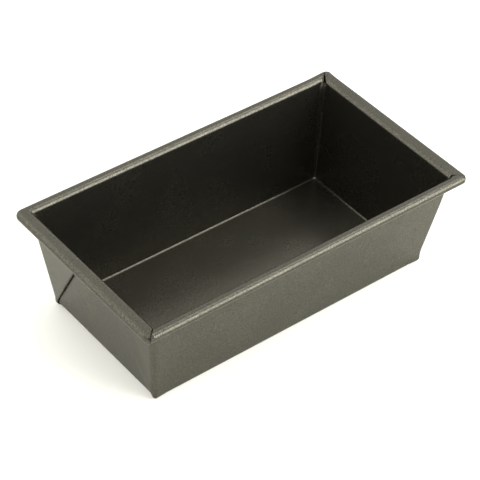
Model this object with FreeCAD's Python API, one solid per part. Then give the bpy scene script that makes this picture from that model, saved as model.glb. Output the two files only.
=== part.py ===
"""Folded loaf pan: one steel blank with envelope corners, and a wire rolled into its rim.

Millimetres, +Z up, X along the pan. The origin is the middle of the underside.
"""

import FreeCAD
import Part
import math
import os

# Outside sizes, over the rolled rim
OUTER_LENGTH = 210.0
OUTER_WIDTH = 116.2
HEIGHT = 62.0

# Sheet and wire
SHEET = 0.6
WIRE_DIAMETER = 3.5
WIRE_CLEARANCE = 0.05
WIRE_JOINT = 0.3

# Walls: how far each leans out from the base to the rim
TAPER = 9.0
FLOOR_BEND = 1.3
CORNER_LOW = 1.5
CORNER_HIGH = 3.6

# Rim: its width from the wall to the outside, and the bend over the wall's top
END_RIM = 7.8
SIDE_RIM = 5.8
RIM_BEND = 2.8
RIM_CORNER = 4.6

# Rim corners: the open mitres, the closed one, and the pinhole left at its inside end
OPEN_MITRE = 0.7
CLOSED_MITRE = 0.12
PINHOLE_SIZE = (2.6, 0.7)
PINHOLE_PLACE = (1.3, 0.4)

# Folded ears on the outside of the two end walls
FOLD_GAP = 0.1
EAR_CORNER = 3.0
EAR_TUCK = 1.4
EAR_ROOT = 3.4
WIDE_EAR = 31.5
NARROW_EAR = 23.0
NUB_RADIUS = 1.9
NUB_OUT = (0.9, 0.5)
NUB_LIFT = 0.1

LEAN = math.atan(TAPER / HEIGHT)
SHEET_ACROSS = SHEET / math.cos(LEAN)
BEAD_RADIUS = WIRE_DIAMETER / 2 + WIRE_CLEARANCE + SHEET
BEAD_HEIGHT = 2 * BEAD_RADIUS
FLANGE_START = HEIGHT - RIM_BEND / math.tan((math.pi / 2 + LEAN) / 2)
EAR_STACK = 2 * SHEET + FOLD_GAP

# A cutting shape runs OVERCUT past what it cuts. Two fillets that meet on a thin edge
# each take NEARLY_ALL of half its thickness.
OVERCUT = 1.0
NEARLY_ALL = 0.999
TINY = 1e-4
CORNERS = ((1, 1), (1, -1), (-1, -1), (-1, 1))

Vector = FreeCAD.Vector


def inner_half(z):
    """Half the inside length and width between the walls at height z."""
    lean = TAPER * (1 - z / HEIGHT)
    return OUTER_LENGTH / 2 - END_RIM - lean, OUTER_WIDTH / 2 - SIDE_RIM - lean


def outer_half(z, end_extra=0.0, side_extra=0.0):
    """Half the length and width over the walls at height z, with extra room outside them."""
    x, y = inner_half(z)
    return x + SHEET_ACROSS + end_extra, y + SHEET_ACROSS + side_extra


def frustum(half_at, low, high):
    """Four-sided taper whose half sizes at a height are half_at(height)."""
    bx, by = half_at(low)
    tx, ty = half_at(high)
    wedge = Part.makeWedge(-bx, low, -by, -ty, -tx, bx, high, by, ty, tx)
    wedge.rotate(Vector(), Vector(1, 0, 0), 90)
    return wedge


def box(half_x, half_y, low, high):
    """Block centred on the Z axis."""
    corner = Vector(-half_x, -half_y, low)
    return Part.makeBox(2 * half_x, 2 * half_y, high - low, corner)


def round_corners(solid, low_radius, high_radius):
    """Round the four upright edges, tighter at the base than at the top."""
    for sx, sy in CORNERS:
        edge = next(
            e
            for e in solid.Edges
            if e.BoundBox.ZLength > TINY
            and e.CenterOfMass.x * sx > 0
            and e.CenterOfMass.y * sy > 0
        )
        first, last = low_radius, high_radius
        if edge.firstVertex().Z > edge.lastVertex().Z:
            first, last = last, first
        solid = solid.makeFillet(first, last, [edge])
    return solid


def round_base(solid, z, radius):
    """Round the edges that lie flat at height z."""
    flat = [e for e in solid.Edges if all(abs(v.Z - z) < TINY for v in e.Vertexes)]
    return solid.makeFillet(radius, flat)


def pan_inside():
    """The space that the walls and floor enclose, up to where the rim bends out."""
    inside = frustum(inner_half, SHEET, FLANGE_START)
    inside = round_corners(inside, CORNER_LOW, CORNER_HIGH)
    return round_base(inside, SHEET, FLOOR_BEND)


def tub(inside):
    """Floor and four walls."""
    outside = frustum(outer_half, 0, FLANGE_START)
    outside = round_corners(outside, CORNER_LOW + SHEET, CORNER_HIGH + SHEET)
    outside = round_base(outside, 0, FLOOR_BEND + SHEET)
    return outside.cut(inside)


def rounded_ring(inset, low, high, edge_radius):
    """Block in the rim's outline, its outer edges fully rounded."""
    block = box(OUTER_LENGTH / 2 - inset, OUTER_WIDTH / 2 - inset, low, high)
    upright = [e for e in block.Edges if e.BoundBox.ZLength > TINY]
    block = block.makeFillet(RIM_CORNER - inset, upright)
    flat = [e for e in block.Edges if e.BoundBox.ZLength < TINY]
    return block.makeFillet(edge_radius * NEARLY_ALL, flat)


def outside_walls(half_at, top, radius):
    """All that lies outside the walls, with the edge over the walls bent to a radius."""
    low = HEIGHT - BEAD_HEIGHT - OVERCUT
    block = box(OUTER_LENGTH, OUTER_WIDTH, low, top)
    block = block.cut(frustum(half_at, low, top))
    x, y = half_at(top)
    edges = [
        e
        for e in block.Edges
        if all(
            abs(v.Z - top) < TINY and abs(v.X) < x + TINY and abs(v.Y) < y + TINY
            for v in e.Vertexes
        )
    ]
    return block.makeFillet(radius, edges)


def rim():
    """Rolled rim: out over the wall's top, round the wire and back in to the wall."""
    low = HEIGHT - BEAD_HEIGHT
    skin = rounded_ring(0, low, HEIGHT, BEAD_RADIUS)
    skin = skin.common(outside_walls(inner_half, HEIGHT, RIM_BEND))
    hollow = rounded_ring(SHEET, low + SHEET, HEIGHT - SHEET, BEAD_RADIUS - SHEET)
    under = outside_walls(outer_half, HEIGHT - SHEET, RIM_BEND - SHEET)
    skin = skin.cut(hollow.common(under))
    skin = skin.cut(frustum(outer_half, low - OVERCUT, FLANGE_START))

    def tail_edge(z):
        return outer_half(z, EAR_STACK + 2 * FOLD_GAP, FOLD_GAP)

    skin = skin.cut(frustum(tail_edge, low - OVERCUT, low + SHEET + TINY))
    open_slits = [mitre(-1, -1, OPEN_MITRE), mitre(1, 1, OPEN_MITRE)]
    return skin.cut([*open_slits, mitre(1, -1, CLOSED_MITRE), pinhole()])


def mitre(sx, sy, width):
    """Slit across the rim from the inside corner to the outside one."""
    x, y = inner_half(HEIGHT)
    length = 2 * math.hypot(END_RIM, SIDE_RIM)
    start = Vector(-OVERCUT, -width / 2, HEIGHT - BEAD_HEIGHT - OVERCUT)
    slit = Part.makeBox(length, width, BEAD_HEIGHT + 2 * OVERCUT, start)
    angle = math.degrees(math.atan2(sy * SIDE_RIM, sx * END_RIM))
    slit.rotate(Vector(), Vector(0, 0, 1), angle)
    slit.translate(Vector(sx * x, sy * y, 0))
    return slit


def pinhole():
    """Small slot through the flange at the +X -Y inside corner, left open by the folding."""
    length, width = PINHOLE_SIZE
    out_x, out_y = PINHOLE_PLACE
    x, y = inner_half(HEIGHT)
    start = Vector(x + out_x - length / 2, -y - out_y - width / 2, HEIGHT - RIM_BEND)
    slot = Part.makeBox(length, width, RIM_BEND + OVERCUT, start)
    upright = [e for e in slot.Edges if e.BoundBox.ZLength > TINY]
    return slot.makeFillet(width / 2 * NEARLY_ALL, upright)


def envelope(top):
    """Outline of the walls and ears together, its corners and base edge rounded."""
    stack = (FOLD_GAP + EAR_STACK) / math.cos(LEAN)
    solid = frustum(lambda z: outer_half(z, stack), 0, top)
    solid = round_corners(solid, EAR_CORNER, EAR_CORNER)
    return round_base(solid, 0, FLOOR_BEND + SHEET)


def ear_slab(angle, start, thickness, margin):
    """Triangle at the base's +X +Y corner, lying off the end wall's face by start.

    The angle is the free edge's, from the vertical, and margin moves that edge back.
    """
    y = outer_half(0)[1]
    slope = math.tan(math.radians(angle))
    rise = margin / slope
    beyond = y + TAPER + RIM_CORNER

    def on_wall(across, z):
        face = outer_half(z)[0] + start / math.cos(LEAN)
        return Vector(face, across, z)

    corners = [on_wall(beyond, rise), on_wall(y, rise)]
    corners += [on_wall(y - (HEIGHT - rise) * slope, HEIGHT), on_wall(beyond, HEIGHT)]
    face = Part.Face(Part.makePolygon(corners + corners[:1]))
    out = Vector(math.cos(LEAN), 0, -math.sin(LEAN))
    return face.extrude(out * thickness)


def slants(edge):
    """Whether an edge runs both up and across the end wall."""
    return min(edge.BoundBox.YLength, edge.BoundBox.ZLength) > 2 * EAR_STACK


def ear(angle):
    """Folded ear of the +X +Y corner: two layers with a rounded fold at the free edge."""
    slab = ear_slab(angle, FOLD_GAP, EAR_STACK, 0)
    fold = [e for e in slab.Edges if slants(e)]
    slab = slab.makeFillet(EAR_STACK / 2 * NEARLY_ALL, fold)
    reach = frustum(lambda z: (OUTER_LENGTH, outer_half(z)[1] - EAR_ROOT), 0, HEIGHT)
    root = ear_slab(angle, -2 * CORNER_HIGH, 2 * CORNER_HIGH + FOLD_GAP + EAR_STACK, 0)
    slab = slab.fuse(root.cut(reach))
    slot = ear_slab(angle, FOLD_GAP + SHEET, FOLD_GAP, 2 * SHEET)
    slab = slab.cut(slot.common(reach))
    return slab.common(envelope(HEIGHT - BEAD_HEIGHT + SHEET + EAR_TUCK))


def nub():
    """Small bulge where the folds meet at the base's +X +Y corner."""
    x, y = outer_half(0)
    out_x, out_y = NUB_OUT
    middle = Vector(x + out_x, y + out_y, NUB_LIFT) + Vector(-1, -1, 1) * NUB_RADIUS
    return Part.makeSphere(NUB_RADIUS, middle)


def to_corner(shape, sx, sy):
    """Copy of a +X +Y corner's shape at another corner."""
    if sx < 0:
        shape = shape.mirror(Vector(), Vector(1, 0, 0))
    if sy < 0:
        shape = shape.mirror(Vector(), Vector(0, 1, 0))
    return shape


def pan_body():
    """The blank: floor, walls, ears and rolled rim as one sheet."""
    inside = pan_inside()
    body = tub(inside)
    for sx, sy in CORNERS:
        angle = WIDE_EAR if sx * sy < 0 else NARROW_EAR
        folds = ear(angle).fuse(nub()).cut(inside)
        body = body.fuse(to_corner(folds, sx, sy))
    return body.fuse(rim()).removeSplitter()


def rim_wire():
    """Round wire bent to the rim's outline, its ends meeting in the far long side."""
    inset = BEAD_RADIUS
    half_x = OUTER_LENGTH / 2 - inset
    half_y = OUTER_WIDTH / 2 - inset
    bend = RIM_CORNER - inset
    x, y, z = half_x - bend, half_y - bend, HEIGHT - inset
    slant = bend * math.sqrt(0.5)
    gap = WIRE_JOINT / 2
    path = [Part.LineSegment(Vector(gap, half_y, z), Vector(x, half_y, z))]
    for sx, sy in CORNERS:
        middle = Vector(sx * (x + slant), sy * (y + slant), z)
        ends = [Vector(sx * x, sy * half_y, z), Vector(sx * half_x, sy * y, z)]
        if sx * sy < 0:
            ends.reverse()
        path.append(Part.Arc(ends[0], middle, ends[1]))
    for start, end in (((half_x, y), (half_x, -y)), ((x, -half_y), (-x, -half_y))):
        path.append(Part.LineSegment(Vector(*start, z), Vector(*end, z)))
    path.append(Part.LineSegment(Vector(-half_x, -y, z), Vector(-half_x, y, z)))
    path.append(Part.LineSegment(Vector(-x, half_y, z), Vector(-gap, half_y, z)))
    spine = Part.Wire(Part.sortEdges([p.toShape() for p in path])[0])
    ring = Part.Circle(Vector(gap, half_y, z), Vector(1, 0, 0), WIRE_DIAMETER / 2)
    return spine.makePipeShell([Part.Wire(ring.toShape())], True, False)


def main():
    os.makedirs("parts", exist_ok=True)
    for name, shape in (("pan_body", pan_body()), ("rim_wire", rim_wire())):
        print(name, shape.isValid(), len(shape.Solids), round(shape.Volume, 1))
        shape.exportStep("parts/" + name + ".step")


main()
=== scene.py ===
"""Loaf pan: the coated steel body remodelled as one folded sheet round the CAD wire."""

import math

import bmesh
import bpy
from mathutils import Matrix, Vector, noise


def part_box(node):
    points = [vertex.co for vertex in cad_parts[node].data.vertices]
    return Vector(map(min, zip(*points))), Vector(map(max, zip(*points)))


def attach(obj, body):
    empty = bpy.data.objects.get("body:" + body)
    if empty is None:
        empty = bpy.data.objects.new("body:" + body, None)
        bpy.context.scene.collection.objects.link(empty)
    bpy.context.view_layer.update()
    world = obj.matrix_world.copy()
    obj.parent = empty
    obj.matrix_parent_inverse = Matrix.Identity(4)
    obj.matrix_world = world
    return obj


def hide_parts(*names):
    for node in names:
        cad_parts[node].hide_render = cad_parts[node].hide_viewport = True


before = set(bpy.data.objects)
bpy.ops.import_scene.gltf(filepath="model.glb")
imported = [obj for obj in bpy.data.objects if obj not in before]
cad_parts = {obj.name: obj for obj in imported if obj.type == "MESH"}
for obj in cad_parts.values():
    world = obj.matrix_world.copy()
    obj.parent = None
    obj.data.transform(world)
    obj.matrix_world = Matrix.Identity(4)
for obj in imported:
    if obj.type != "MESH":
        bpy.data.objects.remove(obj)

# Metres in a millimetre, the metres within which two points are one, and the angle from
# which an edge is shaded sharp
MM = 0.001
SAME_POINT = 1e-6
SHARP_EDGE = math.radians(38)
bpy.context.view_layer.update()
PAN_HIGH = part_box("pan_body")[1]
HALF_LENGTH, HALF_WIDTH, HEIGHT = (v / MM for v in PAN_HIGH)

# The sheet and its bends, in millimetres, as in the CAD
SHEET = 0.6
TAPER = 9.0
LEAN = math.atan(TAPER / HEIGHT)
SHEET_ACROSS = SHEET / math.cos(LEAN)
END_RIM = 7.8
SIDE_RIM = 5.8
RIM_BEND = 2.8
BEAD = 2.4
FLOOR_BEND = 1.3
CORNER_LOW = 1.5
CORNER_HIGH = 3.6
FOLD_GAP = 0.1
EAR_STACK = 2 * SHEET + FOLD_GAP
EAR_TUCK = 1.4
EAR_TOP = HEIGHT - 2 * BEAD + SHEET + EAR_TUCK
EAR_CORNER = 3.0

# An ear near the base: its corner's radius, its share of the full thickness, and the height
# by which both have grown to their full size
EAR_CORNER_LOW = 1.3
EAR_THIN = 0.45
EAR_GROWN = 7

# Flat rings inside the floor's edge and under it, as distances in from that edge
FLOOR_RINGS = (4.0, 0.5)
UNDERSIDE_RINGS = (0.6, 4.0)

# The inside wall's last row below the rim's bend, and the outside wall's first row, which
# the curl hides
INNER_WALL_TOP = HEIGHT - 4.2
OUTER_WALL_TOP = 59.5

# The crease up an inside corner: its depth, and the height by which it is that deep
GROOVE = 0.28
GROOVE_GROWN = 12

# The wall's points near an ear's free edge: how far under the ear the first is, at most and
# as a share of the way to the corner, how far behind the fold's middle the second is, and
# how far past the edge the third. Rows with no ear spread the same columns to each side.
BESIDE_FOLD = 0.8
BESIDE_FOLD_SHARE = 0.3
BEHIND_FOLD = 0.1
PAST_FOLD = 0.2
RESTING_SPREAD = (1.4, 0.5)

# Where an ear stands off the wall: the height by which it does so fully, the (height,
# length) over which that ends below the rim, and how far in from the free edge it reaches
LIFT_GROWN = 25
LIFT_ENDS = (EAR_TOP + 2, 8)
LIFT_WIDTH = 9

# Corners by the signs of X and Y. An ear has the slope of its free edge, the edge's bow
# and how far it stands off the wall. A rim corner has its radius at the outside and at
# the bend, how round the outside is (1 an arc, 0 cut straight across), how crisp the
# bend is (1 an arc, 0 square), the slit's width along the rows of the rim, as points
# (row, width), and the slit's path, as points (in from the end, in from the side)
# measured from the rim's outside.
DIAGONAL = Vector((1.0, 1.0)).normalized()
WIDE_EAR = {"slope": 0.613, "bow": 0.0}
NARROW_EAR = {"slope": 0.59, "bow": 0.004}
CORNERS = {
    (-1, 1): {
        **WIDE_EAR, "lift": 0.5, "outside": 4.6, "bend": 1.3, "round": 1.0, "crisp": 1.0,
        "slit": None, "path": ((0.0, 0.0), (7.8, 5.8)),
    },
    (-1, -1): {
        **NARROW_EAR, "lift": 0.25, "outside": 4.6, "bend": 1.8, "round": 0.6, "crisp": 0.6,
        "slit": ((0, 0.06), (2, 0.7), (18, 0.7), (21, 0.3), (30, 0.3)),
        "path": ((1.4, 0.0), (6.9, 5.2)),
    },
    (1, -1): {
        **WIDE_EAR, "lift": 0.1, "outside": 3.0, "bend": 3.0, "round": 0.5, "crisp": 0.35,
        "slit": ((0, 0.06), (2.4, 0.06), (3.6, 1.1), (6.5, 1.0), (8.5, 0.1), (30, 0.1)),
        "path": ((0.6, 0.6), (5.6, 6.4), (8.6, 5.6)),
    },
    (1, 1): {
        **NARROW_EAR, "lift": 0.1, "outside": 2.8, "bend": 3.2, "round": 0.35, "crisp": 0.4,
        "slit": ((0, 1.5), (6, 1.2), (9, 0.8), (15.5, 0.7), (17.5, 0.15), (30, 0.15)),
        "path": ((2.3, 0.0), (8.0, 7.3)),
    },
}

# Points along a loop: half a corner, a long side, an ear's flat, the fold at its free edge
# and the wall from there to the middle
ARC_STEPS = 8
LONG_STEPS = 30
FLAT_STEPS = 5
FOLD_STEPS = 6
WALL_STEPS = 9
# Rows of loops: round the floor's bend, up the inside of a wall, down the outside, round
# the rim's bend and round its bead, with places across the rim's flat and the curl's tail
BASE_ROWS = 6
INSIDE_ROWS = 16
OUTSIDE_ROWS = 18
RIM_BEND_ROWS = 7
BEAD_ROWS = 16
RIM_FLAT = (0.15, 0.5, 0.85)
CURL_TAIL = (0.3, 0.92, 1.0)
# The last outside row's height above the base, and how the rows crowd towards it
EAR_FOOT = 2.4
ROW_CROWDING = 0.92
# How far out from the wall a rim corner starts to take its outside radius, and over what
# length, and the same for its outside shape
OUTSIDE_RADIUS_FROM = (0.6, 1.6)
OUTSIDE_SHAPE_FROM = (2, 3)
SMALLEST_OUTLINE = 2.2
# The rows of the bend where a slit is a creased fold rather than a cut, and the crease's
# depth in thicknesses
FOLDED_ROWS = 6
CREASE = 2.6
# How steeply a slit's opening fades along the corner, and more so for one narrower than
# HAIRLINE, and the least and most of the corner that may lie to one side of it
SLIT_FADE = 1.2
HAIRLINE = 0.4
HAIRLINE_FADE = 3
SLIT_SHARES = (0.1, 0.9)
SLIT_HALVINGS = 24

# Slack in the walls: how far a long wall and an end wall wander, the noise's third place
# for each, the lengths of that wandering along each wall and upwards, the height by which
# the base lets go of it, the (height, length) over which the rim takes hold, and how far a
# corner holds each wall
SIDE_SLACK = 0.22
END_SLACK = 0.16
SIDE_SEED = 3.1
END_SEED = 7.7
SIDE_SLACK_LENGTH = 45
END_SLACK_LENGTH = 35
UPRIGHT_SLACK_LENGTH = 30
SLACK_GROWN = 12
SLACK_ENDS = (HEIGHT - 3, 20)
CORNER_HOLDS_SIDE = 25
CORNER_HOLDS_END = 18
# The +X end is drawn in: how far at its middle, how much less for each length towards +Y,
# and the (place, length) over which that starts upwards and ends towards the rim's outside
DRAWN_IN = 0.3
DRAWN_LESS = 0.25
DRAWN_LESS_LENGTH = 50
DRAWN_FROM = (40, 15)
DRAWN_ENDS = (HALF_LENGTH - 1.5, 5)
# Waves in the rim's height: how high, how long, the noise's third place, and the (height,
# length) where they start
RIM_WAVE = 0.07
RIM_WAVE_LENGTH = 22
RIM_WAVE_SEED = 1.3
RIM_WAVE_FROM = (HEIGHT - 8, 5)

# The rim corner at +X and +Y springs up and out: how far, and the (distance, length) over
# which that ends along the long side and along the end
SPRING = 0.4
SPRING_ENDS_ALONG_SIDE = (16, 14)
SPRING_ENDS_ALONG_END = (9, 6)
# The rim corner at -X and -Y is pinched: how far the bead hangs, a facet's drop on its top,
# and the (distance, length) over which each ends
HANG = 1.3
HANG_ENDS = (5.6, 3.0)
FACET_DROP = 0.45
FACET_ENDS_FROM_SIDE = (3.6, 0.9)
FACET_ENDS_FROM_END = (3.6, 1.0)

# The bulge at each corner of the base: its height, its reach, and how far it pushes out
NUB_HEIGHT = 2.0
NUB_REACH = 3.2
NUB_OUT = (0.45, 0.5)


def smooth(t):
    """0 below 0, 1 above 1 and a smooth step between them."""
    t = min(1.0, max(0.0, t))
    return t * t * (3 - 2 * t)


def rising(place, start, length):
    """0 before the start, and 1 from a length past it."""
    return smooth((place - start) / length)


def falling(place, end, length):
    """1 until a length before the end, and 0 from there on."""
    return smooth((end - place) / length)


def mix(a, b, t):
    """a where t is 0 and b where t is 1."""
    return a + (b - a) * t


def wall_half(z, out=0.0):
    """Half length and width between the walls' inner faces at z, moved outward by out."""
    lean = TAPER * (1 - z / HEIGHT)
    return HALF_LENGTH - END_RIM - lean + out, HALF_WIDTH - SIDE_RIM - lean + out


# ---------------------------------------------------------------- the loops of the sheet


def ear_edge(z, corner):
    """How far from the long axis an ear's free edge is at height z."""
    return wall_half(0, SHEET_ACROSS)[1] - z * corner["slope"] + z * z * corner["bow"]


def resting_columns():
    """Shares of an end's half width, from the corner to the middle, for loops with no ear."""
    half = wall_half(EAR_TOP)[1] - CORNER_HIGH
    shares = {}
    for key, corner in CORNERS.items():
        edge = ear_edge(EAR_TOP, corner)
        first, last = edge + RESTING_SPREAD[0], edge - RESTING_SPREAD[1]
        rows = [mix(half, first, (i + 1) / (FLAT_STEPS + 1)) for i in range(FLAT_STEPS)]
        fold = (FOLD_STEPS + 1) + 2
        rows += [mix(first, last, i / (fold - 1)) for i in range(fold)]
        rows += [last * (1 - (i + 1) / (WALL_STEPS + 1)) for i in range(WALL_STEPS)]
        shares[key] = [row / half for row in rows]
    return shares


RESTING = resting_columns()


def end_columns(key, loop):
    """Points of an end's half from a corner to the middle: (distance from the axis, out)."""
    half_y = loop["half"][1]
    radius = loop["radius"][key]
    if not loop["ear"]:
        return [((half_y - radius) * share, 0.0) for share in RESTING[key]]
    corner = CORNERS[key]
    stack = loop["stack"]
    z = loop["z"]
    bend = stack / 2
    edge = min(ear_edge(z, corner), half_y - radius - 2 * bend)
    start = edge + bend
    rows = [
        (mix(half_y - radius, start, (i + 1) / (FLAT_STEPS + 1)), FOLD_GAP + stack)
        for i in range(FLAT_STEPS)
    ]
    for i in range(FOLD_STEPS + 1):
        turn = math.pi / 2 - math.pi * i / FOLD_STEPS
        rows.append((start - bend * math.cos(turn), FOLD_GAP + bend + bend * math.sin(turn)))
    beside = min(BESIDE_FOLD, BESIDE_FOLD_SHARE * (half_y - start))
    rows.append((start + beside, FOLD_GAP / 2))
    rows.append((start - BEHIND_FOLD, 0.0))
    rows += [((edge - PAST_FOLD) * (1 - i / WALL_STEPS), 0.0) for i in range(WALL_STEPS)]
    lift = corner["lift"] * rising(z, 0, LIFT_GROWN) * falling(z, *LIFT_ENDS)
    lifted = FLAT_STEPS + FOLD_STEPS + 1
    return [
        (y, out + (lift * smooth(1 - (y - edge) / LIFT_WIDTH) if i < lifted else 0.0))
        for i, (y, out) in enumerate(rows)
    ]


def arc_point(key, loop, share):
    """Point of a corner's outline, from 0 at the end wall to 1 at the long wall."""
    half_x, half_y = loop["half"]
    radius = loop["radius"][key]
    roundness = loop["round"][key]
    turn = share * math.pi / 2
    crisp = loop["crisp"][key]
    x = mix(1 - share, math.cos(turn) ** crisp, roundness) - 1
    y = mix(share, math.sin(turn) ** crisp, roundness) - 1
    return half_x + loop["corner_out"] + radius * x, half_y + radius * y


def between(knots, place):
    """The value at a place, and the line's direction there, for knots of (place, value)."""
    for (x0, y0), (x1, y1) in zip(knots, knots[1:]):
        if place <= x1:
            break
    return mix(y0, y1, (place - x0) / (x1 - x0)), Vector((x1 - x0, y1 - y0)).normalized()


def slit_place(key, loop):
    """Where the slit's path crosses a loop's corner: the share of the arc, and direction."""
    low, high = 0.0, 1.0
    for _ in range(SLIT_HALVINGS):
        share = (low + high) / 2
        x, y = arc_point(key, loop, share)
        across, along = between(CORNERS[key]["path"], HALF_LENGTH - x)
        if HALF_WIDTH - y > across:
            low = share
        else:
            high = share
    return min(SLIT_SHARES[1], max(SLIT_SHARES[0], share)), along


def arc_columns(key, loop):
    """Points of a corner from the end wall to the long wall, two of them at the slit."""
    sx, sy = key
    middle, along = slit_place(key, loop) if loop["rim"] else (0.5, DIAGONAL)
    shares = [middle * i / ARC_STEPS for i in range(ARC_STEPS + 1)]
    shares += [mix(middle, 1, i / ARC_STEPS) for i in range(ARC_STEPS + 1)]
    rows = [list(arc_point(key, loop, share)) for share in shares]
    slit = loop["slit"][key] / 2
    steepness = HAIRLINE_FADE if loop["slit"][key] < HAIRLINE else SLIT_FADE
    for i in range(ARC_STEPS + 1):
        fade = (i / ARC_STEPS) ** steepness
        rows[i][0] += slit * along.y * fade
        rows[i][1] -= slit * along.x * fade
        rows[-1 - i][0] -= slit * along.y * fade
        rows[-1 - i][1] += slit * along.x * fade
    for i in (ARC_STEPS, ARC_STEPS + 1):
        rows[i][0] += loop["groove"] * along.x
        rows[i][1] += loop["groove"] * along.y
    return [Vector((sx * x, sy * y, loop["z"])) for x, y in rows]


def loop_points(loop):
    """One closed row of points round the pan, from the middle of the +X end."""
    half_x, half_y = loop["half"]
    z = loop["z"]

    def end_half(key):
        sx, sy = key
        return [
            Vector((sx * (half_x + out), sy * y, z)) for y, out in end_columns(key, loop)
        ]

    def long_side(sy, direction):
        starts = half_x + loop["corner_out"] - loop["radius"][(direction, sy)]
        ends = half_x + loop["corner_out"] - loop["radius"][(-direction, sy)]
        return [
            Vector((mix(direction * starts, -direction * ends, i / LONG_STEPS), sy * half_y, z))
            for i in range(1, LONG_STEPS)
        ]

    points = [Vector((half_x, 0, z))]
    points += end_half((1, 1))[::-1] + arc_columns((1, 1), loop)
    points += long_side(1, 1)
    points += arc_columns((-1, 1), loop)[::-1] + end_half((-1, 1))
    points += [Vector((-half_x, 0, z))]
    points += end_half((-1, -1))[::-1] + arc_columns((-1, -1), loop)
    points += long_side(-1, -1)
    points += arc_columns((1, -1), loop)[::-1] + end_half((1, -1))
    return points


def make_loop(half, z, radius, **extra):
    """A loop's facts. radius is one number, or one for each corner."""
    if not isinstance(radius, dict):
        radius = {key: radius for key in CORNERS}
    loop = {
        "half": half,
        "z": z,
        "radius": radius,
        "round": {key: 1.0 for key in CORNERS},
        "crisp": {key: 1.0 for key in CORNERS},
        "slit": {key: 0.0 for key in CORNERS},
        "ear": False,
        "stack": 0.0,
        "corner_out": 0.0,
        "groove": 0.0,
        "rim": False,
    }
    loop.update(extra)
    return loop


def corner_radius(z):
    """Radius of the inside corners at height z: they open out upwards."""
    return mix(CORNER_LOW, CORNER_HIGH, z / HEIGHT)


def base_bend(outer):
    """Rows round the bend from the floor to the walls: (half sizes, z), from the floor up."""
    radius = FLOOR_BEND + (SHEET if outer else 0)
    level = 0.0 if outer else SHEET
    half = wall_half(level, SHEET_ACROSS if outer else 0.0)
    back = radius * (1 - math.sin(LEAN)) / math.cos(LEAN)
    rows = []
    for i in range(BASE_ROWS + 1):
        turn = mix(-math.pi / 2, -LEAN, i / BASE_ROWS)
        out = radius * math.cos(turn) - back
        rows.append(((half[0] + out, half[1] + out), level + radius + radius * math.sin(turn)))
    return rows


def inner_loops():
    """From the floor's inside up to the rim's bend."""
    rows = base_bend(outer=False)
    (half_x, half_y), z = rows[0]
    loops = [
        make_loop((half_x - inset, half_y - inset), z, CORNER_LOW) for inset in FLOOR_RINGS
    ]
    loops += [make_loop(half, z, corner_radius(z)) for half, z in rows]
    start = rows[-1][1]
    for i in range(1, INSIDE_ROWS + 1):
        z = mix(start, INNER_WALL_TOP, i / INSIDE_ROWS)
        groove = GROOVE * rising(z, 0, GROOVE_GROWN)
        loops.append(make_loop(wall_half(z), z, corner_radius(z), groove=groove))
    return loops


def rim_profile(thick):
    """Rim rows from the wall's top round to the tail's edge: (out at ends, out at sides, z).

    thick 0 is the outside of the sheet and 1 its inside, row for row.
    """
    depth = thick * SHEET
    tangent = RIM_BEND / math.tan((math.pi / 2 + LEAN) / 2)
    low = HEIGHT - BEAD
    rows = []
    for i in range(RIM_BEND_ROWS + 1):
        turn = mix(math.pi - LEAN, math.pi / 2, i / RIM_BEND_ROWS)
        out = tangent + (RIM_BEND - depth) * math.cos(turn)
        rows.append((out, out, HEIGHT - RIM_BEND + (RIM_BEND - depth) * math.sin(turn)))
    for share in RIM_FLAT:
        end = mix(tangent, END_RIM - BEAD, share)
        side = mix(tangent, SIDE_RIM - BEAD, share)
        rows.append((end, side, HEIGHT - depth))
    for i in range(BEAD_ROWS + 1):
        turn = math.pi / 2 - math.pi * i / BEAD_ROWS
        out = (BEAD - depth) * math.cos(turn)
        z = low + (BEAD - depth) * math.sin(turn)
        rows.append((END_RIM - BEAD + out, SIDE_RIM - BEAD + out, z))
    face = wall_half(HEIGHT - 2 * BEAD, SHEET_ACROSS)[0] - (HALF_LENGTH - END_RIM)
    for share in CURL_TAIL:
        end = mix(END_RIM - BEAD, face + EAR_STACK + 2 * FOLD_GAP, share)
        side = mix(SIDE_RIM - BEAD, face + FOLD_GAP, share)
        rows.append((end, side, HEIGHT - 2 * BEAD + depth))
    return rows


def rim_loops(thick):
    """The rim's rows as loops, with the slits at its corners."""
    loops = []
    for row, (end, side, z) in enumerate(rim_profile(thick)):
        half = (HALF_LENGTH - END_RIM + end, HALF_WIDTH - SIDE_RIM + side)
        inward = SIDE_RIM - side
        past = rising(side, *OUTSIDE_RADIUS_FROM)
        shaped = rising(side, *OUTSIDE_SHAPE_FROM)
        facts = {"radius": {}, "slit": {}, "round": {}, "crisp": {}}
        for key, corner in CORNERS.items():
            outline = max(corner["outside"] - inward, SMALLEST_OUTLINE)
            facts["slit"][key] = between(corner["slit"], row)[0] if corner["slit"] else 0.0
            facts["radius"][key] = mix(corner["bend"], outline, past)
            facts["round"][key] = mix(1.0, corner["round"], shaped)
            facts["crisp"][key] = mix(corner["crisp"], 1.0, past)
        loops.append(make_loop(half, z, facts.pop("radius"), rim=True, **facts))
    return loops


def outer_loops():
    """From under the rim down the walls' outside, over the ears, to the floor's underside."""
    loops = [
        make_loop(wall_half(z, SHEET_ACROSS), z, CORNER_HIGH + SHEET)
        for z in (OUTER_WALL_TOP, EAR_TOP)
    ]
    rows = [(wall_half(z, SHEET_ACROSS), z) for z in ear_heights()]
    rows += base_bend(outer=True)[::-1]
    for half, z in rows:
        grown = rising(z, 0, EAR_GROWN)
        stack = EAR_STACK * mix(EAR_THIN, 1.0, grown)
        radius = mix(EAR_CORNER_LOW, EAR_CORNER, grown)
        loops.append(
            make_loop(half, z, radius, ear=True, stack=stack, corner_out=stack + FOLD_GAP)
        )
    (half_x, half_y), z = rows[-1]
    for inset in UNDERSIDE_RINGS:
        loops.append(make_loop((half_x - inset, half_y - inset), z, CORNER_LOW))
    return loops


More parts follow.
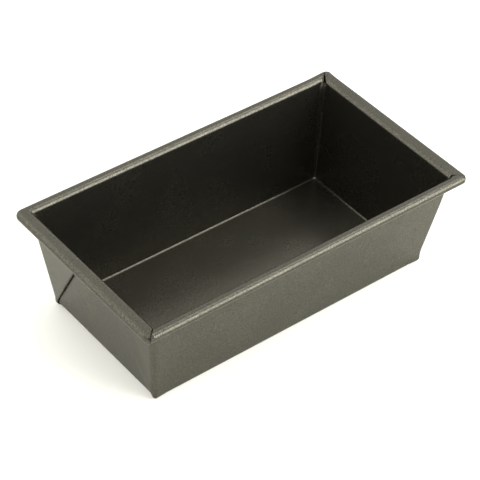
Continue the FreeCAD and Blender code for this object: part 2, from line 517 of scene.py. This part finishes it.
def ear_heights():
    """Heights of the outside rows, closer together near the base."""
    shares = [(i / OUTSIDE_ROWS) ** ROW_CROWDING for i in range(1, OUTSIDE_ROWS + 1)]
    return [EAR_TOP] + [mix(EAR_TOP, EAR_FOOT, share) for share in shares]


def handwork(p):
    """Small unevenness of a folded pan: slack walls, an end drawn in, waves in the rim."""
    p = p.copy()
    sx = 1 if p.x > 0 else -1
    sy = 1 if p.y > 0 else -1
    half_x, half_y = wall_half(p.z)
    slack = rising(p.z, 0, SLACK_GROWN) * falling(p.z, *SLACK_ENDS)
    away_x = falling(abs(p.x), half_x, CORNER_HOLDS_SIDE)
    away_y = falling(abs(p.y), half_y, CORNER_HOLDS_END)
    along_side = Vector((p.x / SIDE_SLACK_LENGTH, p.z / UPRIGHT_SLACK_LENGTH, SIDE_SEED * sy))
    p.y += SIDE_SLACK * slack * away_x * noise.noise(along_side)
    along_end = Vector((p.y / END_SLACK_LENGTH, p.z / UPRIGHT_SLACK_LENGTH, END_SEED * sx))
    p.x += END_SLACK * slack * away_y * noise.noise(along_end)
    if p.x > 0:
        drawn = DRAWN_IN - DRAWN_LESS * p.y / DRAWN_LESS_LENGTH
        p.x -= drawn * rising(p.z, *DRAWN_FROM) * falling(p.x, *DRAWN_ENDS)
    along_rim = Vector((p.x / RIM_WAVE_LENGTH, p.y / RIM_WAVE_LENGTH, RIM_WAVE_SEED))
    p.z += RIM_WAVE * noise.noise(along_rim) * rising(p.z, *RIM_WAVE_FROM)
    return p


def pinch(p, top):
    """What the corner tool leaves on the rim; top is for the outside of the sheet."""
    from_end, from_side = HALF_LENGTH - abs(p.x), HALF_WIDTH - abs(p.y)
    if p.x > 0 and p.y > 0:
        spring = SPRING * falling(from_end, *SPRING_ENDS_ALONG_SIDE)
        spring *= falling(from_side, *SPRING_ENDS_ALONG_END)
        p.y += spring
        p.z += spring
    if p.x < 0 and p.y < 0:
        hang = falling(max(from_end, from_side), *HANG_ENDS)
        p.z -= HANG * hang * falling(p.z, HEIGHT - BEAD, BEAD)
        if top and from_side > between(CORNERS[(-1, -1)]["path"], from_end)[0]:
            facet = FACET_DROP * falling(from_side, *FACET_ENDS_FROM_SIDE)
            p.z -= facet * falling(from_end, *FACET_ENDS_FROM_END)


def nub(p):
    """The folds' small bulge at each corner of the base."""
    half_x, half_y = wall_half(0, SHEET_ACROSS)
    sx = 1 if p.x > 0 else -1
    sy = 1 if p.y > 0 else -1
    reach = Vector((abs(p.x) - half_x, abs(p.y) - half_y, p.z - NUB_HEIGHT)).length
    push = math.exp(-((reach / NUB_REACH) ** 2))
    p.x += NUB_OUT[0] * sx * push
    p.y += NUB_OUT[1] * sy * push


def build_body():
    """The whole sheet as one closed mesh: every loop joined to the next, slits left open."""
    inside = inner_loops()
    over = rim_loops(thick=0)
    under = rim_loops(thick=1)[::-1]
    outside = outer_loops()
    loops = inside + over + under + outside
    mesh = bmesh.new()
    rows = []
    for r, loop in enumerate(loops):
        top = r < len(inside) + len(over)
        points = [handwork(p) for p in loop_points(loop)]
        for p in points:
            if loop["rim"]:
                pinch(p, top)
            if loop["ear"]:
                nub(p)
        rows.append([mesh.verts.new(p * MM) for p in points])
    count = len(rows[0])
    slits = slit_columns(count)
    first_cut = len(inside)
    last_cut = first_cut + len(over) + len(under) - 1
    for r in range(len(rows) - 1):
        for c in range(count):
            if c in slits and first_cut <= r < last_cut - FOLDED_ROWS:
                continue
            d = (c + 1) % count
            mesh.faces.new((rows[r][c], rows[r][d], rows[r + 1][d], rows[r + 1][c]))
    for c in slits:
        line_slit(mesh, rows, (c, (c + 1) % count), first_cut, last_cut)
    mesh.faces.new(rows[0][::-1])
    mesh.faces.new(rows[-1])
    bmesh.ops.remove_doubles(mesh, verts=mesh.verts, dist=SAME_POINT)
    bmesh.ops.recalc_face_normals(mesh, faces=mesh.faces)
    data = bpy.data.meshes.new("coated_pan")
    mesh.to_mesh(data)
    mesh.free()
    return data


def line_slit(mesh, rows, sides, first, last):
    """A slit's cut faces between two columns: a crease at the bend, then right through."""
    crease = []
    for i in range(FOLDED_ROWS + 1):
        deep = CREASE * smooth((i + 1) / 2)
        over = [rows[first + i][side].co.copy() for side in sides]
        under = [rows[last - i][side] for side in sides]
        through = [low.co - high for low, high in zip(under, over)]
        middle = (over[0] + over[1]) / 2
        crease.append(mesh.verts.new(middle + (through[0] + through[1]) / 2 * deep))
        for low, high, step in zip(under, over, through):
            low.co = high + step * (1 + deep)
    mesh.faces.new((rows[first][sides[0]], crease[0], rows[first][sides[1]]))
    for i in range((last - first) // 2):
        a, b = first + i, last - i
        for side in sides:
            wall = [rows[a][side], rows[a + 1][side]]
            if i < FOLDED_ROWS:
                wall += [crease[i + 1], crease[i]]
            else:
                wall += [rows[b - 1][side], rows[b][side]]
                wall += [crease[i]] if i == FOLDED_ROWS else []
            mesh.faces.new(wall)
    b = last - FOLDED_ROWS
    mesh.faces.new((crease[-1], rows[b][sides[0]], rows[b][sides[1]]))


def slit_columns(count):
    """The columns whose next neighbour is across a corner's slit."""
    corner = 2 * (ARC_STEPS + 1)
    half_end = FLAT_STEPS + (FOLD_STEPS + 1) + 2 + WALL_STEPS
    first = 1 + half_end + ARC_STEPS
    second = 1 + half_end + corner + (LONG_STEPS - 1) + ARC_STEPS
    step = count // 2
    columns = {
        (1, 1): first,
        (-1, 1): second,
        (-1, -1): first + step,
        (1, -1): second + step,
    }
    return [columns[key] for key, corner in CORNERS.items() if corner["slit"]]


# ---------------------------------------------------------------- materials


def new_material(name):
    material = bpy.data.materials.new(name)
    material.use_nodes = True
    tree = material.node_tree
    return material, tree, tree.nodes["Principled BSDF"]


def add(tree, kind, inputs=None, **settings):
    """A node with its settings and constant inputs."""
    node = tree.nodes.new(kind)
    for key, value in settings.items():
        setattr(node, key, value)
    for key, value in (inputs or {}).items():
        node.inputs[key].default_value = value
    return node


def ramp(tree, source, stops):
    """Colour ramp fed by source; stops are (place, colour)."""
    node = tree.nodes.new("ShaderNodeValToRGB")
    while len(node.color_ramp.elements) < len(stops):
        node.color_ramp.elements.new(0.5)
    for element, (place, colour) in zip(node.color_ramp.elements, stops):
        element.position = place
        element.color = (*colour, 1)
    tree.links.new(source, node.inputs["Fac"])
    return node.outputs["Color"]


COAT_DARK = (0.041, 0.039, 0.0301)
COAT_LIGHT = (0.1145, 0.1085, 0.084)
# Wire colours, near black: partly the drawn wire's own dark colour, partly painted shade, so
# the wire darkens the slits at the rim's corners as shade would.
WIRE_SHADED_DARK = (0.018, 0.017, 0.016)
WIRE_SHADED_LIGHT = (0.034, 0.033, 0.031)


def coating():
    """Dark bronze-grey non-stick coat with a fine metallic fleck."""
    material, tree, shader = new_material("coated_steel")
    link = tree.links.new
    place = add(tree, "ShaderNodeTexCoord").outputs["Object"]
    fleck = add(tree, "ShaderNodeTexNoise", {"Scale": 1500.0, "Detail": 3.0, "Roughness": 0.6})
    cloud = add(tree, "ShaderNodeTexNoise", {"Scale": 38.0, "Detail": 4.0, "Roughness": 0.55})
    peel = add(tree, "ShaderNodeTexNoise", {"Scale": 650.0, "Detail": 2.0, "Roughness": 0.5})
    for node in (fleck, cloud, peel):
        link(place, node.inputs["Vector"])
    flecks = ramp(tree, fleck.outputs["Fac"], [(0.36, COAT_DARK), (0.67, COAT_LIGHT)])
    clouds = ramp(tree, cloud.outputs["Fac"], [(0.3, (0.88,) * 3), (0.7, (1.0,) * 3)])
    colour = add(tree, "ShaderNodeMix", data_type="RGBA", blend_type="MULTIPLY")
    colour.inputs["Factor"].default_value = 1.0
    link(flecks, colour.inputs["A"])
    link(clouds, colour.inputs["B"])
    link(colour.outputs["Result"], shader.inputs["Base Color"])
    rough = add(tree, "ShaderNodeMapRange", {"To Min": 0.24, "To Max": 0.3})
    link(cloud.outputs["Fac"], rough.inputs["Value"])
    link(rough.outputs["Result"], shader.inputs["Roughness"])
    bump = add(tree, "ShaderNodeBump", {"Strength": 0.25, "Distance": 0.00012})
    link(peel.outputs["Fac"], bump.inputs["Height"])
    link(bump.outputs["Normal"], shader.inputs["Normal"])
    shader.inputs["Metallic"].default_value = 0.9
    shader.inputs["Specular Tint"].default_value = (0.86, 0.86, 0.83, 1)
    return material


def wire_steel():
    """Drawn steel wire, near black: partly its own dark colour, partly painted shade for the
    rim's slits where it shows.
    """
    material, tree, shader = new_material("wire_steel")
    link = tree.links.new
    place = add(tree, "ShaderNodeTexCoord").outputs["Object"]
    grain = add(tree, "ShaderNodeTexNoise", {"Scale": 900.0, "Detail": 4.0})
    link(place, grain.inputs["Vector"])
    colour = ramp(tree, grain.outputs["Fac"], [(0.3, WIRE_SHADED_DARK), (0.7, WIRE_SHADED_LIGHT)])
    link(colour, shader.inputs["Base Color"])
    bump = add(tree, "ShaderNodeBump", {"Strength": 0.2, "Distance": 0.0001})
    link(grain.outputs["Fac"], bump.inputs["Height"])
    link(bump.outputs["Normal"], shader.inputs["Normal"])
    shader.inputs["Metallic"].default_value = 1.0
    shader.inputs["Roughness"].default_value = 0.38
    return material


# ---------------------------------------------------------------- the pieces

body_mesh = build_body()
body_mesh.shade_smooth()
body_mesh.set_sharp_from_angle(angle=SHARP_EDGE)
body = bpy.data.objects.new("coated_pan", body_mesh)
bpy.context.scene.collection.objects.link(body)
body.data.materials.append(coating())
weighted = body.modifiers.new("even_normals", "WEIGHTED_NORMAL")
weighted.keep_sharp = True
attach(body, "root")
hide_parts("pan_body")

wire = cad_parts["rim_wire"]
wire.data.materials.clear()
wire.data.materials.append(wire_steel())


# ---------------------------------------------------------------- stage, light and camera


LIGHT_DISTANCE = 1.3


def stage_plane(name, size, colour, glow):
    """A square that lies flat under the pan, a little lit from within."""
    half = size / 2
    data = bpy.data.meshes.new(name)
    data.from_pydata(
        [(-half, -half, 0), (half, -half, 0), (half, half, 0), (-half, half, 0)],
        [],
        [(0, 1, 2, 3)],
    )
    card = bpy.data.objects.new(name, data)
    bpy.context.scene.collection.objects.link(card)
    material, tree, shader = new_material(name)
    tone = add(tree, "ShaderNodeTexNoise", {"Scale": 3.0, "Detail": 1.0})
    place = add(tree, "ShaderNodeTexCoord").outputs["Object"]
    tree.links.new(place, tone.inputs["Vector"])
    shade = tuple(0.99 * part for part in colour)
    paint = ramp(tree, tone.outputs["Fac"], [(0.3, shade), (0.7, colour)])
    tree.links.new(paint, shader.inputs["Base Color"])
    shader.inputs["Roughness"].default_value = 0.9
    shader.inputs["Specular IOR Level"].default_value = 0.0
    brightest = max(colour)
    shader.inputs["Emission Color"].default_value = (*(part / brightest for part in colour), 1)
    shader.inputs["Emission Strength"].default_value = glow
    data.materials.append(material)


def softbox(name, direction, size, radiance, colour=(1.0, 1.0, 1.0)):
    """Oblong area light that faces the pan, of a set brightness as seen from the pan."""
    light = bpy.data.lights.new(name, "AREA")
    light.shape = "RECTANGLE"
    light.size, light.size_y = size
    light.energy = radiance * math.pi * size[0] * size[1]
    light.color = colour
    lamp = bpy.data.objects.new(name, light)
    bpy.context.scene.collection.objects.link(lamp)
    middle = Vector((0, 0, HEIGHT * MM / 2))
    lamp.location = middle + Vector(direction).normalized() * LIGHT_DISTANCE
    lamp.rotation_mode = "QUATERNION"
    lamp.rotation_quaternion = (lamp.location - middle).to_track_quat("Z", "Y")
    lamp.visible_camera = False


def bearing(azimuth, height):
    """Unit direction at an azimuth from +X towards +Y, and a height above the floor."""
    turn, rise = math.radians(azimuth), math.radians(height)
    return (math.cos(turn) * math.cos(rise), math.sin(turn) * math.cos(rise), math.sin(rise))


stage_plane("floor", 12.0, (0.77, 0.762, 0.7), 0.12)
softbox("key_softbox", bearing(-50, 26), (1.3, 1.05), 5.3, (0.94, 0.965, 1.0))
softbox("high_softbox", bearing(8, 60), (0.55, 0.6), 3.0)
softbox("back_softbox", bearing(118, 38), (1.5, 1.1), 0.8)
softbox("left_softbox", bearing(165, 14), (1.1, 0.5), 0.6)

world = bpy.data.worlds.new("studio")
bpy.context.scene.world = world
world.use_nodes = True
background = world.node_tree.nodes["Background"]
background.inputs["Color"].default_value = (1.0, 1.0, 1.0, 1)
background.inputs["Strength"].default_value = 1.6

# Camera: a long lens a metre away, above the pan and beyond its corner at -X and -Y
CAMERA_AZIMUTH = math.radians(-40.19)
CAMERA_HEIGHT = math.radians(41.48)
CAMERA_ROLL = math.radians(2.97)
CAMERA_DISTANCE = 1.0173
CAMERA_TARGET = Vector((-0.0014, 0.0005, 0.030))
LENS = 144.35

back = Vector(
    (
        math.sin(CAMERA_AZIMUTH) * math.cos(CAMERA_HEIGHT),
        -math.cos(CAMERA_AZIMUTH) * math.cos(CAMERA_HEIGHT),
        math.sin(CAMERA_HEIGHT),
    )
)
level = (-back).cross(Vector((0, 0, 1))).normalized()
upward = level.cross(-back)
right = level * math.cos(CAMERA_ROLL) + upward * math.sin(CAMERA_ROLL)
top = upward * math.cos(CAMERA_ROLL) - level * math.sin(CAMERA_ROLL)
camera_data = bpy.data.cameras.new("camera")
camera_data.sensor_width = 36.0
camera_data.lens = LENS
camera_data.clip_start = 0.05
camera_data.clip_end = 50.0
camera = bpy.data.objects.new("camera", camera_data)
bpy.context.scene.collection.objects.link(camera)
turned = Matrix((right, top, back)).transposed().to_4x4()
camera.matrix_world = Matrix.Translation(CAMERA_TARGET + back * CAMERA_DISTANCE) @ turned
bpy.context.scene.camera = camera
bpy.context.scene.view_settings.view_transform = "Standard"
